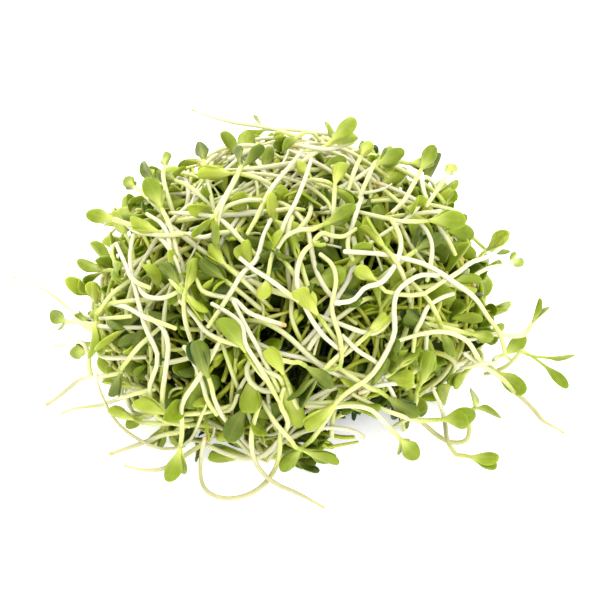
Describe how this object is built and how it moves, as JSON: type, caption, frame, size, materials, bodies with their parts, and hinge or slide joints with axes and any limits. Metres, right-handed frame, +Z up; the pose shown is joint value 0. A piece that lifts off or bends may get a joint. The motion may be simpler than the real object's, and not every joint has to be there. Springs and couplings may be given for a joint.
{
  "type": "heap of alfalfa sprouts",
  "caption": "Loose heap of fresh alfalfa sprouts: a tangled, full-shouldered mound with single sprouts lying on it, leaning out and trailing on the surface.",
  "frame": {"origin": "middle of the bounding box, on the surface that the heap lies on", "axes": "+X along the longest extent, to the viewer's right, -Y towards the viewer, +Z up, the shortest extent"},
  "size_m": [0.1256, 0.1104, 0.0552],
  "materials": {
    "tangled_sprouts": "fresh, moist tangle of cream stems and green seed leaves",
    "stem": "smooth, moist, translucent cream to pale green, with tan broken ends",
    "leaf": "smooth, satin, fresh green seed leaves with a paler underside"
  },
  "bodies": {
    "root": {"packed_sprouts": "tangled_sprouts", "left_floor_stem": "stem", "left_root_stem": "stem", "left_broken_stem": "stem", "low_root_stem": "stem", "left_hook_stem": "stem", "left_edge_stem": "stem", "left_edge_leaves": "leaf", "far_left_root_stem": "stem", "drop_stem": "stem", "drop_leaves": "leaf", "loop_stem": "stem", "front_root_stem": "stem", "right_drop_stem": "stem", "right_drop_leaves": "leaf", "low_right_stem": "stem", "low_right_leaves": "leaf", "wide_right_stem": "stem", "wide_right_leaves": "leaf", "upright_stem": "stem", "upright_leaves": "leaf", "right_root_stem": "stem", "long_arc_stem": "stem", "long_arc_leaves": "leaf", "far_right_stem": "stem", "far_right_leaves": "leaf", "round_stem": "stem", "round_leaves": "leaf", "spoon_stem": "stem", "spoon_leaves": "leaf", "right_curl_stem": "stem", "right_curl_leaves": "leaf", "curled_front_stem": "stem", "thick_sweep_stem": "stem", "face_stem": "stem", "face_leaves": "leaf", "left_brow_stem": "stem", "left_brow_leaves": "leaf", "twin_stem": "stem", "twin_leaves": "leaf", "right_lean_stem": "stem", "right_lean_leaves": "leaf", "upper_right_stem": "stem", "upper_right_leaves": "leaf", "upper_stem": "stem", "upper_leaves": "leaf", "top_stem": "stem", "top_leaves": "leaf", "top_root_stem": "stem", "back_low_stem": "stem", "back_right_stem": "stem", "back_right_leaves": "leaf", "back_fall_stem": "stem", "back_fall_leaves": "leaf", "back_sweep_stem": "stem", "back_left_stem": "stem", "back_left_leaves": "leaf", "back_trail_stem": "stem", "back_top_stem": "stem", "back_top_leaves": "leaf"}
  },
  "joints": []
}
